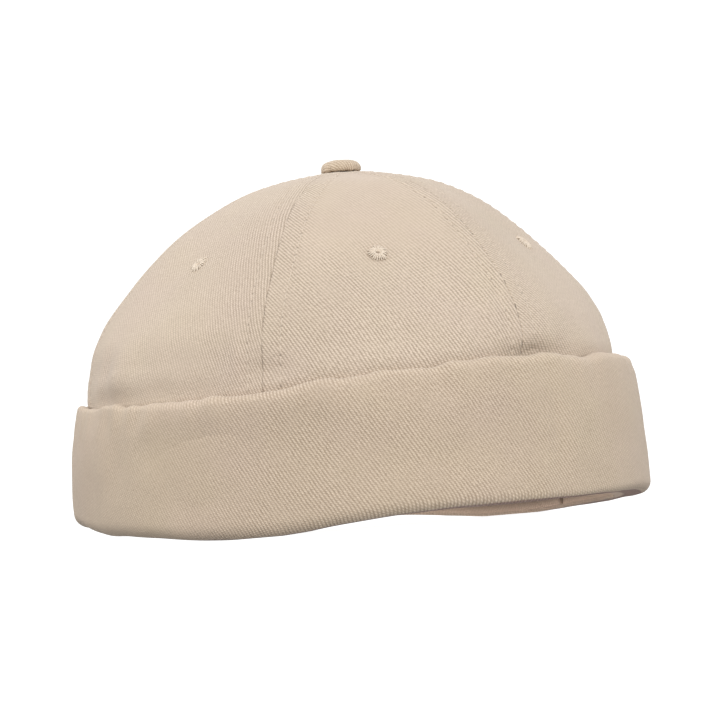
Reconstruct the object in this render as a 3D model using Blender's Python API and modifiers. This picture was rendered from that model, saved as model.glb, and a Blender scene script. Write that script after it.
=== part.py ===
# A docker hat: six-panel crown, turned-up cuff, sweatband, sewn eyelets and a covered button.
# Metres, +Z up, front to -Y. The origin is under the middle of the hat, on the surface it rests on.
# An azimuth is in degrees round +Z: 0 at the front (-Y), 90 at the wearer's left (+X).

import math

import bmesh
import bpy
from mathutils import Vector

for leftover in list(bpy.data.objects):
    bpy.data.objects.remove(leftover, do_unlink=True)

# Cloth and clearances
CROWN_CLOTH = 0.0012
CUFF_CLOTH = 0.0011
BAND_CLOTH = 0.0010
FIT = 0.0003
SEAM_GAP = 0.0003

# Crown
CROWN_HALF_LENGTH = 0.0970
CROWN_HALF_WIDTH = 0.0870
CROWN_HEIGHT = 0.1270
CROWN_LEAN = 0.0026
LEAN_AZIMUTH = 138.0
CROWN_FREE = 0.0100
PANEL_COUNT = 6

# Cuff
CUFF_HEIGHT = 0.0490
CUFF_RISE = 0.0040
CUFF_FLARE = 0.0093
CUFF_CORNER = 0.0050
RIM_LIFT = 0.0080

# Sweatband
BAND_HEIGHT = 0.0310
BAND_LAP = 0.0150
BAND_STEP = 0.0120

# Eyelets
EYELET_RADIUS = 0.0028
EYELET_BORE = 0.0005
EYELET_NECK = 0.0014
EYELET_PROUD = 0.0007

# Button
BUTTON_RADIUS = 0.00715
BUTTON_HEIGHT = 0.0042
BUTTON_STEM = 0.0028

# Mesh
AZIMUTH_STEPS = 60

# Crown profile from the rim to the apex: shares of the half sizes and of the height, and how much
# flatter than the ellipse the middle of a panel is.
PROFILE = (
    # width, height, flatness
    (1.000, 0.000, 0.000),
    (1.000, 0.220, 0.000),
    (1.000, 0.410, 0.000),
    (0.998, 0.479, 0.015),
    (0.983, 0.534, 0.025),
    (0.952, 0.580, 0.035),
    (0.913, 0.625, 0.045),
    (0.845, 0.686, 0.055),
    (0.774, 0.746, 0.065),
    (0.692, 0.806, 0.070),
    (0.604, 0.859, 0.070),
    (0.489, 0.910, 0.065),
    (0.379, 0.948, 0.060),
    (0.268, 0.972, 0.050),
    (0.150, 0.990, 0.030),
    (0.063, 0.997, 0.010),
    (0.000, 1.000, 0.000),
)

# Soft swells and dents of the crown: depth is a share of the half width, outwards positive.
DENTS = (
    # azimuth, height, depth, azimuth spread, height spread
    (138.0, 0.64, 0.006, 30.0, 0.11),
    (128.0, 0.92, 0.012, 45.0, 0.07),
    (140.0, 0.49, 0.003, 26.0, 0.07),
    (25.0, 0.52, -0.010, 22.0, 0.09),
    (-45.0, 0.49, -0.007, 30.0, 0.07),
)

# How far the bottom edge lifts off the surface, as a share of RIM_LIFT. It rests where this is 0.
LIFT = (
    # azimuth, lift
    (-117.0, 0.00),
    (-107.0, 0.00),
    (-92.0, 0.28),
    (-75.0, 0.60),
    (-58.0, 0.88),
    (-42.0, 1.02),
    (-29.0, 1.06),
    (-20.0, 0.90),
    (-12.0, 0.62),
    (-4.0, 0.50),
    (4.0, 0.34),
    (13.0, 0.12),
    (22.0, 0.00),
    (31.0, 0.00),
    (42.0, 0.28),
    (53.0, 0.53),
    (64.0, 0.66),
    (80.0, 0.75),
    (98.0, 0.78),
    (114.0, 0.96),
    (128.0, 1.00),
    (142.0, 0.62),
    (154.0, 0.36),
    (166.0, 0.26),
    (178.0, 0.10),
    (186.0, 0.00),
    (198.0, 0.00),
    (208.0, 0.20),
    (220.0, 0.40),
    (232.0, 0.26),
)

# The cuff's top edge: height above CUFF_HEIGHT as a share of CUFF_RISE, and how far its outer face
# stands off the crown at the top and at the bottom as shares of CUFF_FLARE.
CUFF_TOP = (
    # azimuth, rise, top stand-off, bottom stand-off
    (-42.0, 0.60, 0.37, 0.87),
    (-22.0, 0.14, 0.40, 0.90),
    (-6.0, -0.26, 0.46, 0.94),
    (4.0, -0.50, 0.53, 0.97),
    (22.0, -0.50, 0.62, 0.99),
    (32.0, -0.38, 0.64, 1.00),
    (40.0, -0.06, 0.64, 1.00),
    (50.0, 0.22, 0.64, 1.00),
    (67.0, 0.68, 0.65, 1.00),
    (84.0, 0.92, 0.70, 1.04),
    (105.0, 0.88, 0.77, 1.10),
    (138.0, 1.00, 0.88, 1.16),
    (180.0, 0.80, 0.74, 1.06),
    (225.0, 0.50, 0.56, 0.98),
    (270.0, 0.50, 0.44, 0.92),
)

# The cuff's outer face between its bottom corner and its top fold.
CUFF_FACE = (
    # height, share of the way from the top stand-off to the full flare
    (0.34, 1.00),
    (0.56, 0.90),
    (0.74, 0.66),
    (0.87, 0.36),
)

# Soft folds of the cuff's face: height is a share of its top's, depth of CUFF_FLARE, outwards
# positive.
CUFF_FOLDS = (
    # azimuth, height, depth, azimuth spread, height spread
    (-10.0, 0.62, 0.04, 9.0, 0.26),
    (26.0, 0.60, -0.07, 21.0, 0.22),
    (82.0, 0.44, -0.06, 32.0, 0.20),
)

# Half section of the eyelet outside the cloth and half section of the button.
EYELET_SECTION = (
    # radius from the bore to the rim, height of EYELET_PROUD
    (0.00, 0.45),
    (0.22, 0.95),
    (0.55, 1.00),
    (0.88, 0.75),
    (1.00, 0.25),
    (0.94, 0.00),
)
BUTTON_SECTION = (
    # radius, height
    (0.00, 1.00),
    (0.34, 0.98),
    (0.64, 0.90),
    (0.86, 0.73),
    (0.97, 0.48),
    (1.00, 0.24),
    (0.97, 0.06),
    (0.91, 0.00),
)

# Name, azimuth of the panel's middle, and the eyelet's azimuth and height share on the crown.
PANELS = (
    ("front", 0.0, 3.0, 0.742),
    ("front_left", 60.0, 57.5, 0.722),
    ("back_left", 120.0, 125.0, 0.750),
    ("back", 180.0, 180.0, 0.738),
    ("back_right", 240.0, 240.0, 0.738),
    ("front_right", 300.0, 300.0, 0.738),
)


def spline(x, x0, x1, x2, x3, y0, y1, y2, y3):
    # Cubic through y1 and y2 with the slopes of their neighbours.
    f = (x - x1) / (x2 - x1)
    m1 = (y2 - y0) / (x2 - x0) * (x2 - x1)
    m2 = (y3 - y1) / (x3 - x1) * (x2 - x1)
    return ((2 * f**3 - 3 * f**2 + 1) * y1 + (f**3 - 2 * f**2 + f) * m1
            + (3 * f**2 - 2 * f**3) * y2 + (f**3 - f**2) * m2)


def around(table, azimuth, column):
    # Value of a table that closes on itself after 360 degrees.
    rows = [(r[0] - 360.0, r[column]) for r in table[-2:]]
    rows += [(r[0], r[column]) for r in table]
    rows += [(r[0] + 360.0, r[column]) for r in table[:3]]
    azimuth = (azimuth - table[0][0]) % 360.0 + table[0][0]
    for i in range(1, len(rows) - 2):
        if rows[i][0] <= azimuth < rows[i + 1][0]:
            break
    four = rows[i - 1:i + 3]
    return spline(azimuth, *[r[0] for r in four], *[r[1] for r in four])


def profile(t, column):
    # PROFILE at step t, 0 at the rim and its last row at the apex.
    last = len(PROFILE) - 1
    i = min(max(int(t), 0), last - 1)
    y = [PROFILE[k][column] for k in (max(i - 1, 0), i, i + 1, min(i + 2, last))]
    if i == 0:
        y[0] = 2 * y[1] - y[2]
    if i == last - 1:
        y[3] = 2 * y[2] - y[1]
    return spline(t, i - 1, i, i + 1, i + 2, *y)


def step_at(height_share):
    # The step t of the profile at a height share.
    low, high = 0.0, float(len(PROFILE) - 1)
    for _ in range(40):
        middle = (low + high) / 2
        if profile(middle, 1) < height_share:
            low = middle
        else:
            high = middle
    return low


def ellipse(azimuth):
    # Point of the crown's base and its outward normal, in plan.
    a = math.radians(azimuth)
    s, c = math.sin(a), math.cos(a)
    r = 1.0 / math.hypot(s / CROWN_HALF_WIDTH, c / CROWN_HALF_LENGTH)
    normal = Vector((s / CROWN_HALF_WIDTH**2, -c / CROWN_HALF_LENGTH**2, 0.0)).normalized()
    return Vector((r * s, -r * c, 0.0)), normal


def settle(point, azimuth):
    # Lifts what lies low at this azimuth by the wave of the bottom edge.
    share = max(0.0, 1.0 - point.z / CUFF_HEIGHT)
    lift = max(0.0, around(LIFT, azimuth, 1)) * RIM_LIFT
    return point + Vector((0.0, 0.0, lift * share))


def crown_point(azimuth, t):
    # Outer surface of the crown.
    width, height, flat = (profile(t, column) for column in range(3))
    middle_share = 0.5 + 0.5 * math.cos(math.radians(azimuth) * PANEL_COUNT)
    swell = 0.0
    for at, up, depth, spread, spread_up in DENTS:
        turn = ((azimuth - at + 180.0) % 360.0 - 180.0) / spread
        swell += depth * math.exp(-turn**2 - ((height - up) / spread_up)**2)
    above = max(0.0, height * CROWN_HEIGHT - cuff_top(azimuth))
    swell *= min(1.0, above / CROWN_FREE)
    base, normal = ellipse(azimuth)
    point = base * width * (1.0 - flat * middle_share) + normal * swell * CROWN_HALF_WIDTH
    point.z = height * CROWN_HEIGHT
    lean = CROWN_LEAN * above / (CROWN_HEIGHT - CUFF_HEIGHT)
    a = math.radians(LEAN_AZIMUTH)
    return point + Vector((math.sin(a), -math.cos(a), 0.0)) * lean


def cuff_top(azimuth):
    return CUFF_HEIGHT + CUFF_RISE * around(CUFF_TOP, azimuth, 1)


def cuff_fold(azimuth, height):
    # Soft folds of the cuff's face at a share of its height.
    total = 0.0
    for at, up, depth, spread, spread_up in CUFF_FOLDS:
        turn = ((azimuth - at + 180.0) % 360.0 - 180.0) / spread
        total += depth * math.exp(-turn**2 - ((height - up) / spread_up)**2)
    return total * CUFF_FLARE


def cuff_section(azimuth):
    # Outer side of the cuff as (out from the crown, up): tread, bottom corner, face, top fold, and
    # the inner layer back down.
    tuck = CROWN_CLOTH + FIT + BAND_CLOTH
    top = cuff_top(azimuth)
    stand = CUFF_FLARE * around(CUFF_TOP, azimuth, 2)
    flare = CUFF_FLARE * around(CUFF_TOP, azimuth, 3)
    points = [(-tuck, 0.0), (0.0, 0.0), (flare - CUFF_CORNER, 0.0)]
    for i in range(1, 5):
        a = math.radians(90.0 * i / 4)
        points.append((flare - CUFF_CORNER * (1.0 - math.sin(a)), CUFF_CORNER * (1.0 - math.cos(a))))
    for up, share in CUFF_FACE:
        points.append((stand + (flare - stand) * share + cuff_fold(azimuth, up), top * up))
    fold = (stand - FIT) / 2
    for i in range(5):
        a = math.radians(180.0 * i / 4)
        points.append((stand - fold * (1.0 - math.cos(a)), top - fold * (1.0 - math.sin(a))))
    points += [(FIT, top * 0.6), (FIT, top * 0.28)]
    return points


def new_object(name, mesh, material, collection):
    obj = bpy.data.objects.new(name, mesh)
    mesh.materials.append(material)
    mesh.shade_smooth()
    collection.objects.link(obj)
    return obj


def mapped_grid(name, across, up, place, material, closed=False):
    # A grid whose two shares (0 to 1) are placed on a surface by a function.
    bm = bmesh.new()
    bmesh.ops.create_grid(bm, x_segments=across, y_segments=up, size=0.5)
    for vert in bm.verts:
        vert.co = place(vert.co.x + 0.5, round((vert.co.y + 0.5) * up))
    if closed:
        bmesh.ops.remove_doubles(bm, verts=bm.verts, dist=1e-6)
    mesh = bpy.data.meshes.new(name)
    bm.to_mesh(mesh)
    bm.free()
    return new_object(name, mesh, material, hat)


def thicken(obj, thickness):
    solidify = obj.modifiers.new("cloth", "SOLIDIFY")
    solidify.thickness = thickness
    solidify.offset = -1.0


def turned(name, points, steps, closed, material):
    # A profile in the XZ plane turned about Z.
    bm = bmesh.new()
    verts = [bm.verts.new((r, 0.0, z)) for r, z in points]
    for a, b in zip(verts, verts[1:]):
        bm.edges.new((a, b))
    if closed:
        bm.edges.new((verts[-1], verts[0]))
    mesh = bpy.data.meshes.new(name)
    bm.to_mesh(mesh)
    bm.free()
    obj = new_object(name, mesh, material, hat)
    screw = obj.modifiers.new("turn", "SCREW")
    screw.axis = "Z"
    screw.steps = steps
    screw.render_steps = steps
    screw.use_merge_vertices = True
    screw.merge_threshold = 0.00001
    return obj


def cloth(name, colour, roughness):
    material = bpy.data.materials.new(name)
    material.use_nodes = True
    shader = material.node_tree.nodes["Principled BSDF"]
    shader.inputs["Base Color"].default_value = (*colour, 1.0)
    shader.inputs["Roughness"].default_value = roughness
    shader.inputs["Metallic"].default_value = 0.0
    material.diffuse_color = (*colour, 1.0)
    return material


hat = bpy.data.collections.new("docker_hat")
cutters = bpy.data.collections.new("cutters")
for group in (hat, cutters):
    bpy.context.scene.collection.children.link(group)

crown_twill = cloth("crown_twill", (0.70, 0.58, 0.45), 0.9)
cuff_twill = cloth("cuff_twill", (0.64, 0.52, 0.39), 0.9)
sweatband_twill = cloth("sweatband_twill", (0.52, 0.41, 0.33), 0.92)
eyelet_thread = cloth("eyelet_thread", (0.74, 0.62, 0.49), 0.8)
button_twill = cloth("button_twill", (0.66, 0.54, 0.41), 0.9)

# Crown panels: from just above the cuff's roll to the opening for the button's stem.
half_panel = 180.0 / PANEL_COUNT
panel_steps = AZIMUTH_STEPS // PANEL_COUNT
edge_start = step_at((CUFF_CLOTH + FIT) / CROWN_HEIGHT)
edge_end = len(PROFILE) - 1 - (BUTTON_STEM + FIT) / (CROWN_HALF_WIDTH * PROFILE[-2][0])
panel_rows = [edge_start] + [float(t) for t in range(1, len(PROFILE) - 1)] + [edge_end]

for side, middle, eyelet_azimuth, eyelet_height in PANELS:

    def on_panel(across, row):
        t = panel_rows[row]
        radius = CROWN_HALF_WIDTH * max(profile(t, 0), 0.01)
        margin = math.degrees(SEAM_GAP / 2 / radius)
        azimuth = middle + (half_panel - margin) * (2 * across - 1)
        return settle(crown_point(azimuth, t), azimuth)

    panel = mapped_grid("crown_panel_" + side, panel_steps, len(panel_rows) - 1, on_panel, crown_twill)
    thicken(panel, CROWN_CLOTH)

    # The eyelet sits square on one face of the panel; its neck goes through a hole cut there.
    column = panel_steps * (0.5 + (eyelet_azimuth - middle) / (2 * half_panel))
    row = step_at(eyelet_height)
    left, low = int(column), int(row)
    corners = [on_panel(c / panel_steps, r) for r in (low, low + 1) for c in (left, left + 1)]
    lower = corners[0].lerp(corners[1], column - left)
    upper = corners[2].lerp(corners[3], column - left)
    seat = lower.lerp(upper, row - low)
    outward = (corners[1] - corners[0]).normalized().cross((upper - lower).normalized())
    square = outward.to_track_quat("Z", "Y")

    ring = EYELET_RADIUS - EYELET_BORE
    section = [(EYELET_BORE + ring * r, FIT + EYELET_PROUD * z) for r, z in EYELET_SECTION]
    back = -CROWN_CLOTH - 2 * FIT
    section += [(EYELET_NECK, FIT), (EYELET_NECK, back)]
    section += [(EYELET_BORE + ring * 0.7, back), (EYELET_BORE + ring * 0.6, back - EYELET_PROUD * 0.7)]
    section += [(EYELET_BORE, back - EYELET_PROUD * 0.5)]
    eyelet = turned("eyelet_" + side, section, 12, True, eyelet_thread)
    eyelet.location = seat
    eyelet.rotation_mode = "QUATERNION"
    eyelet.rotation_quaternion = square

    bm = bmesh.new()
    bmesh.ops.create_cone(bm, cap_ends=True, segments=12, radius1=EYELET_NECK + FIT,
                          radius2=EYELET_NECK + FIT, depth=6 * CROWN_CLOTH)
    mesh = bpy.data.meshes.new("hole_" + side)
    bm.to_mesh(mesh)
    bm.free()
    cutter = bpy.data.objects.new("hole_" + side, mesh)
    cutters.objects.link(cutter)
    cutter.location = seat
    cutter.rotation_mode = "QUATERNION"
    cutter.rotation_quaternion = square
    cutter.hide_render = True
    cutter.display_type = "WIRE"
    hole = panel.modifiers.new("eyelet hole", "BOOLEAN")
    hole.operation = "DIFFERENCE"
    hole.solver = "EXACT"
    hole.object = cutter

# Cuff: one doubled strip, rolled under the crown at the bottom and folded over at the top.
sections = {}


def on_cuff(across, row):
    azimuth = 360.0 * across
    if azimuth not in sections:
        sections[azimuth] = cuff_section(azimuth)
    out, up = sections[azimuth][row]
    base, normal = ellipse(azimuth)
    return settle(base + normal * out + Vector((0.0, 0.0, up)), azimuth)


cuff = mapped_grid("cuff", AZIMUTH_STEPS, len(cuff_section(0.0)) - 1, on_cuff, cuff_twill, closed=True)
thicken(cuff, CUFF_CLOTH)

# Sweatband: a strip round the inside whose two ends lap at the back.
mean_radius = (CROWN_HALF_LENGTH + CROWN_HALF_WIDTH) / 2
lap = math.degrees(BAND_LAP / 2 / mean_radius)
step_over = math.degrees(BAND_STEP / mean_radius)
band_base = CUFF_CLOTH + FIT


def on_band(across, row):
    azimuth = -180.0 - lap + (360.0 + 2 * lap) * across
    past = (step_over + lap - 180.0 - azimuth) / step_over
    past = min(max(past, 0.0), 1.0)
    inset = CROWN_CLOTH + FIT + (BAND_CLOTH + FIT) * past * past * (3 - 2 * past)
    base, normal = ellipse(azimuth)
    height = band_base + (BAND_HEIGHT - band_base) * row / 3
    return settle(base - normal * inset + Vector((0.0, 0.0, height)), azimuth)


band = mapped_grid("sweatband", AZIMUTH_STEPS + 12, 3, on_band, sweatband_twill)
thicken(band, BAND_CLOTH)

# Button: a domed disc on the apex with its stem in the opening between the panels.
rest = [(BUTTON_RADIUS * r, BUTTON_HEIGHT * z) for r, z in BUTTON_SECTION]
rest += [(BUTTON_STEM, 0.0), (BUTTON_STEM, -CROWN_CLOTH - 3 * FIT), (0.0, -CROWN_CLOTH - 3 * FIT)]
button = turned("top_button", rest, 24, False, button_twill)
button.location = crown_point(0.0, len(PROFILE) - 1) + Vector((0.0, 0.0, FIT))
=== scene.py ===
import math
import random

import bmesh
import bpy
from mathutils import Matrix, Vector, noise


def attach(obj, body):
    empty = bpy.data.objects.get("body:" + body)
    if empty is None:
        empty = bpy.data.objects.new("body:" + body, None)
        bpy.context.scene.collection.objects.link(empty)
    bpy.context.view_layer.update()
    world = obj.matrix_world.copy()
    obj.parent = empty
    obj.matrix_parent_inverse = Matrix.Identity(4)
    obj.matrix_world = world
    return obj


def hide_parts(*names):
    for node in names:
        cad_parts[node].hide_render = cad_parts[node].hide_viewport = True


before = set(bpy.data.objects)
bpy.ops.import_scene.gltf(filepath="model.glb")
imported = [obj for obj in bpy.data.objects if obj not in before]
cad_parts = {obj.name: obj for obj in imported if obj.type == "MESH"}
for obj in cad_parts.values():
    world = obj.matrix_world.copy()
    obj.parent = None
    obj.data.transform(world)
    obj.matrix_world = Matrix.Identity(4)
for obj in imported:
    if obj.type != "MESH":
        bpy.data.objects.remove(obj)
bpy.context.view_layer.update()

# Crown. Six gores of washed cotton twill sewn edge to edge, with the seam allowances pressed open
# inside, so each gore rolls down into its seams and stands a little thicker beside them. The cloth
# is firm and keeps a few soft swells. Metres; an azimuth is 0 at the front (-Y) and 90 at +X.
CROWN_CLOTH = 0.0012
FIT = 0.0003
CROWN_HALF_LENGTH = 0.0970
CROWN_HALF_WIDTH = 0.0870
CROWN_HEIGHT = 0.1270
CROWN_LEAN = 0.0026
LEAN_AZIMUTH = 138.0
CROWN_FREE = 0.0100
PANEL_COUNT = 6
PANEL_ROWS = 176
HIDDEN_ROWS = 8
HIDDEN_EDGE = 0.006
APEX_GAP = 0.0030
MIDDLE_COLUMNS = 22
LEAST_GIRTH = 0.0004
LEAST_LENGTH = 0.0001
MERIDIAN_STEPS = 320
BISECTIONS = 40
PROBE_TURN = 0.2
PROBE_STEP = 0.02
SHARP_ANGLE = 60.0

# The sewing's marks: the edge rolled into the seam, the ridge of the allowance inside, and the
# channel, puckers and notches that the stitches draw. Heights as (where none, where full).
SEAM_GAP = 0.00004
SEAM_ROLL = 0.0005
SEAM_DEPTH = 0.00022
SEAM_UNEVEN = 0.0045
SEAM_LEAST = 0.45
SEAM_MORE = 0.9
SEAM_HEIGHT = (0.112, 0.085)
ALLOWANCE_RISE = 0.00020
ALLOWANCE_FOOT = 0.0008
ALLOWANCE_TOP = 0.0006
STITCH = 0.0034
STITCH_CHANNEL = 0.00013
CHANNEL_WIDTH = 0.0008
CHANNEL_LEVEL = 0.62
CHANNEL_BEAT = 0.38
PUCKER = 0.00008
PUCKER_WIDTH = 0.0026
NOTCH = 0.00010
NOTCH_WIDTH = 0.0008
DRAWN_SIZE = 0.006
DRAWN_LEVEL = 0.6
DRAWN_RANGE = 0.8

# The crown's unevenness as (size, height), and its soft upright folds: deepest low down in front.
CROWN_SWELL = (0.034, 0.0006)
CROWN_LUMPS = (0.013, 0.00016)
UPRIGHT_WIDTH = 0.013
UPRIGHT_LENGTH = 0.034
UPRIGHT_RISE = 0.0011
UPRIGHT_HEIGHT = (0.082, 0.056)
UPRIGHT_FRONT = (-0.02, -0.08)
UPRIGHT_BEHIND = 0.35

CUFF_HEIGHT = 0.0490
CUFF_RISE = 0.0040
RIM_LIFT = 0.0080
LIP_WAVE = 0.0015
LIP_WAVE_SIZE = 0.016
LIP_DIP = 0.0012
LIP_DIP_AZIMUTH = 22.0
LIP_DIP_SPREAD = 24.0

RIB_PITCH = 0.00110
RIB_ANGLE = 60.0
FLOAT_LENGTH = 0.00107
FLOAT_SHIFT = 0.147

# Crown profile from the rim to the apex: shares of the half sizes and of the height, and how much
# flatter than the ellipse the middle of a panel is.
PROFILE = (
    # width, height, flatness
    (1.000, 0.000, 0.000),
    (1.000, 0.220, 0.000),
    (1.000, 0.410, 0.000),
    (0.998, 0.479, 0.015),
    (0.983, 0.534, 0.025),
    (0.952, 0.580, 0.035),
    (0.913, 0.625, 0.045),
    (0.845, 0.686, 0.055),
    (0.774, 0.746, 0.065),
    (0.692, 0.806, 0.070),
    (0.604, 0.859, 0.070),
    (0.489, 0.910, 0.065),
    (0.379, 0.948, 0.060),
    (0.268, 0.972, 0.050),
    (0.150, 0.990, 0.030),
    (0.063, 0.997, 0.010),
    (0.000, 1.000, 0.000),
)

# Soft swells and dents: depth is a share of the half width, outwards positive.
DENTS = (
    # azimuth, height, depth, azimuth spread, height spread
    (138.0, 0.64, 0.006, 30.0, 0.11),
    (128.0, 0.92, 0.012, 45.0, 0.07),
    (140.0, 0.49, 0.003, 26.0, 0.07),
    (25.0, 0.52, -0.010, 22.0, 0.09),
    (-45.0, 0.49, -0.007, 30.0, 0.07),
)

# How far the bottom edge lifts off the surface, as a share of RIM_LIFT.
LIFT = (
    # azimuth, lift
    (-117.0, 0.00),
    (-107.0, 0.00),
    (-92.0, 0.28),
    (-75.0, 0.60),
    (-58.0, 0.88),
    (-42.0, 1.02),
    (-29.0, 1.06),
    (-20.0, 0.90),
    (-12.0, 0.62),
    (-4.0, 0.50),
    (4.0, 0.34),
    (13.0, 0.12),
    (22.0, 0.00),
    (31.0, 0.00),
    (42.0, 0.28),
    (53.0, 0.53),
    (64.0, 0.66),
    (80.0, 0.68),
    (98.0, 0.60),
    (114.0, 0.62),
    (128.0, 0.60),
    (142.0, 0.46),
    (154.0, 0.36),
    (166.0, 0.26),
    (178.0, 0.10),
    (186.0, 0.00),
    (198.0, 0.00),
    (208.0, 0.20),
    (220.0, 0.40),
    (232.0, 0.26),
)

# The cuff's top edge: height above CUFF_HEIGHT as a share of CUFF_RISE, and how far its outer face
# stands off the crown at the top and at the bottom as shares of CUFF_FLARE.
CUFF_TOP = (
    # azimuth, rise, top stand-off, bottom stand-off
    (-42.0, 0.60, 0.37, 0.87),
    (-22.0, 0.14, 0.40, 0.90),
    (-6.0, -0.26, 0.46, 0.94),
    (4.0, -0.50, 0.53, 0.97),
    (22.0, -0.50, 0.62, 0.99),
    (32.0, -0.38, 0.64, 1.00),
    (40.0, -0.06, 0.64, 1.00),
    (50.0, 0.22, 0.64, 1.00),
    (67.0, 0.68, 0.65, 1.00),
    (84.0, 0.92, 0.70, 1.04),
    (105.0, 0.88, 0.77, 1.10),
    (138.0, 1.00, 0.88, 1.16),
    (180.0, 0.80, 0.74, 1.06),
    (225.0, 0.50, 0.56, 0.98),
    (270.0, 0.50, 0.44, 0.92),
)

# The crown puffs out over the cuff's lip: heights above the lip as (where none, where full), and
# where it lies flatter.
LIP_PUFF = 0.0016
PUFF_RISE = (-0.0024, -0.0002)
PUFF_FALL = (0.015, 0.0005)
FLATTER_AZIMUTH = -35.0
FLATTER_SPREAD = 20.0
FLATTER_SHARE = 0.7

# Small folds where the crown is drawn in by its seams and tucked into the cuff, metres along the
# cloth's outward direction; slant is in degrees of azimuth per metre of height.
CROWN_FOLDS = (
    # azimuth, height, rise, azimuth spread, height spread, slant
    (-13.5, 0.060, -0.0013, 2.2, 0.0100, 0.0),
    (-5.0, 0.058, 0.0013, 5.0, 0.0090, 0.0),
    (7.0, 0.052, -0.0008, 2.5, 0.0040, -200.0),
    (21.0, 0.057, -0.0010, 1.5, 0.0090, 80.0),
    (24.5, 0.060, 0.0012, 2.2, 0.0070, 80.0),
    (31.0, 0.0545, -0.0016, 5.0, 0.0038, 0.0),
    (8.0, 0.0490, -0.0013, 22.0, 0.0048, 0.0),
    (-11.0, 0.0500, -0.0022, 9.0, 0.0046, 0.0),
    (82.0, 0.068, 0.0009, 3.0, 0.0130, 0.0),
    (93.0, 0.0528, -0.0030, 8.0, 0.0050, 0.0),
    (103.0, 0.0545, -0.0012, 8.0, 0.0060, 0.0),
)

# Azimuth of the panel's middle, the eyelet's azimuth and height share on the crown, the angle of
# the ribs down the panel's middle, how much they turn with its taper, how far the cloth gave when
# it was steamed to shape, and how much more it gave towards the panel's right.
PANELS = (
    # name, middle, eyelet azimuth, eyelet height, grain, curl, give, drift
    ("front", 0.0, 3.0, 0.742, 61.5, 0.92, 0.93, -0.05),
    ("front_left", 60.0, 57.5, 0.722, 61.0, 0.22, 1.05, 0.20),
    ("back_left", 120.0, 125.0, 0.750, 56.0, 0.50, 1.08, 0.00),
    ("back", 180.0, 180.0, 0.738, 60.0, 0.60, 1.00, 0.00),
    ("back_right", 240.0, 240.0, 0.738, 60.0, 0.60, 1.00, 0.00),
    ("front_right", 300.0, 300.0, 0.738, 60.0, 0.60, 1.00, 0.00),
)

# Columns beside a seam by their distance from it, and the topstitched row's distance from the
# seam at a panel's left and right edge.
SEAM_COLUMNS = (0.0, 0.00015, 0.00035, 0.0007, 0.0012, 0.0020, 0.0029, 0.0038, 0.0045, 0.0050,
                0.0054, 0.0058, 0.0062, 0.0067, 0.0074, 0.0084, 0.0097)
ROW_LEFT = 0.0058
ROW_RIGHT = 0.0050
CLOSING_SHARE = 1.2

# The hole in the cloth under an eyelet's stitches, and the dimple round them.
EYELET_HOLE = 0.0011
EYELET_DIMPLE = 0.0003
DIMPLE_WIDTH = 0.0050


def spline(x, x0, x1, x2, x3, y0, y1, y2, y3):
    # Cubic through y1 and y2 with the slopes of their neighbours.
    f = (x - x1) / (x2 - x1)
    m1 = (y2 - y0) / (x2 - x0) * (x2 - x1)
    m2 = (y3 - y1) / (x3 - x1) * (x2 - x1)
    return ((2 * f**3 - 3 * f**2 + 1) * y1 + (f**3 - 2 * f**2 + f) * m1
            + (3 * f**2 - 2 * f**3) * y2 + (f**3 - f**2) * m2)


def around(table, azimuth, column):
    # Value of a table that closes on itself after 360 degrees.
    rows = [(r[0] - 360.0, r[column]) for r in table[-2:]]
    rows += [(r[0], r[column]) for r in table]
    rows += [(r[0] + 360.0, r[column]) for r in table[:3]]
    azimuth = (azimuth - table[0][0]) % 360.0 + table[0][0]
    for i in range(1, len(rows) - 2):
        if rows[i][0] <= azimuth < rows[i + 1][0]:
            break
    four = rows[i - 1:i + 3]
    return spline(azimuth, *[r[0] for r in four], *[r[1] for r in four])


def profile(t, column):
    # PROFILE at step t, 0 at the rim and its last row at the apex.
    last = len(PROFILE) - 1
    i = min(max(int(t), 0), last - 1)
    y = [PROFILE[k][column] for k in (max(i - 1, 0), i, i + 1, min(i + 2, last))]
    if i == 0:
        y[0] = 2 * y[1] - y[2]
    if i == last - 1:
        y[3] = 2 * y[2] - y[1]
    return spline(t, i - 1, i, i + 1, i + 2, *y)


def step_at(height_share):
    # The step t of the profile at a height share.
    low, high = 0.0, float(len(PROFILE) - 1)
    for _ in range(BISECTIONS):
        middle = (low + high) / 2
        if profile(middle, 1) < height_share:
            low = middle
        else:
            high = middle
    return low


def degrees_from(azimuth, at, shift=0.0):
    # How far round an azimuth lies from another one and a shift, -180 to 180 degrees.
    return (azimuth - at - shift + 180.0) % 360.0 - 180.0


def ellipse(azimuth):
    # Point of the crown's base and its outward normal, in plan.
    a = math.radians(azimuth)
    s, c = math.sin(a), math.cos(a)
    r = 1.0 / math.hypot(s / CROWN_HALF_WIDTH, c / CROWN_HALF_LENGTH)
    normal = Vector((s / CROWN_HALF_WIDTH**2, -c / CROWN_HALF_LENGTH**2, 0.0)).normalized()
    return Vector((r * s, -r * c, 0.0)), normal


def settle(point, azimuth):
    # Lifts what lies low at this azimuth by the wave of the bottom edge.
    share = max(0.0, 1.0 - point.z / CUFF_HEIGHT)
    if share == 0.0:
        return point
    lift = max(0.0, around(LIFT, azimuth, 1)) * RIM_LIFT
    return point + Vector((0.0, 0.0, lift * share))


def cuff_top(azimuth):
    return CUFF_HEIGHT + CUFF_RISE * around(CUFF_TOP, azimuth, 1)


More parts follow.
